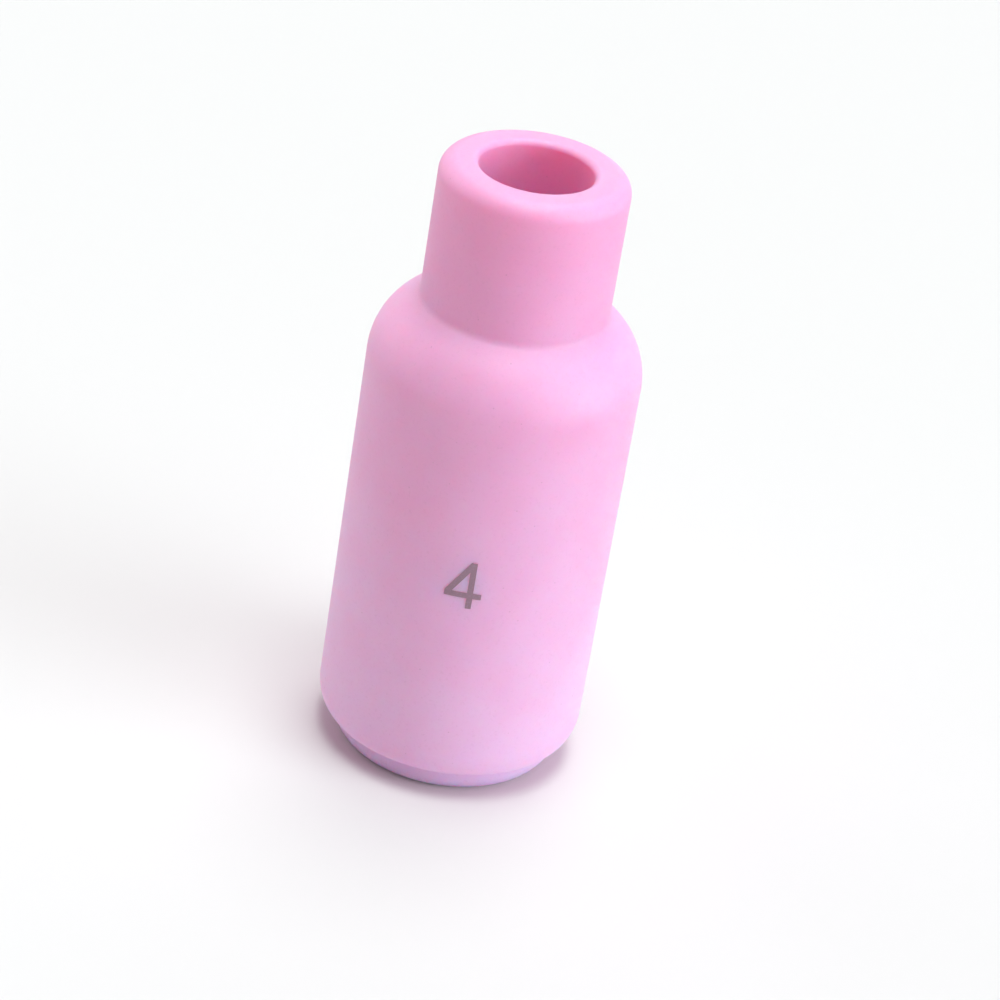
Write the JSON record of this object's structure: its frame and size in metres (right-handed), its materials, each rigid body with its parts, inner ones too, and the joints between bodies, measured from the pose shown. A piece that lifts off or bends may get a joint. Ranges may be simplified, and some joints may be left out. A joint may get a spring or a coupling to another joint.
{
  "type": "tig torch gas nozzle",
  "caption": "Pink alumina TIG gas nozzle: wide round body with an internal thread at the back, rounded shoulder, narrow neck and round orifice, with a printed size digit.",
  "frame": {"origin": "centre of the back face, the threaded end that the nozzle stands on", "axes": "+Z along the gas passage to the orifice, -Y through the middle of the size digit, +X to the right of the digit"},
  "size_m": [0.0176, 0.0176, 0.042],
  "materials": {
    "fired_alumina": "fine matte, unglazed fired alumina in pale pink",
    "fired_ink": "flat matte fired ink in grey mauve"
  },
  "bodies": {
    "root": {"nozzle_body": "fired_alumina", "size_digit": "fired_ink"}
  },
  "joints": []
}
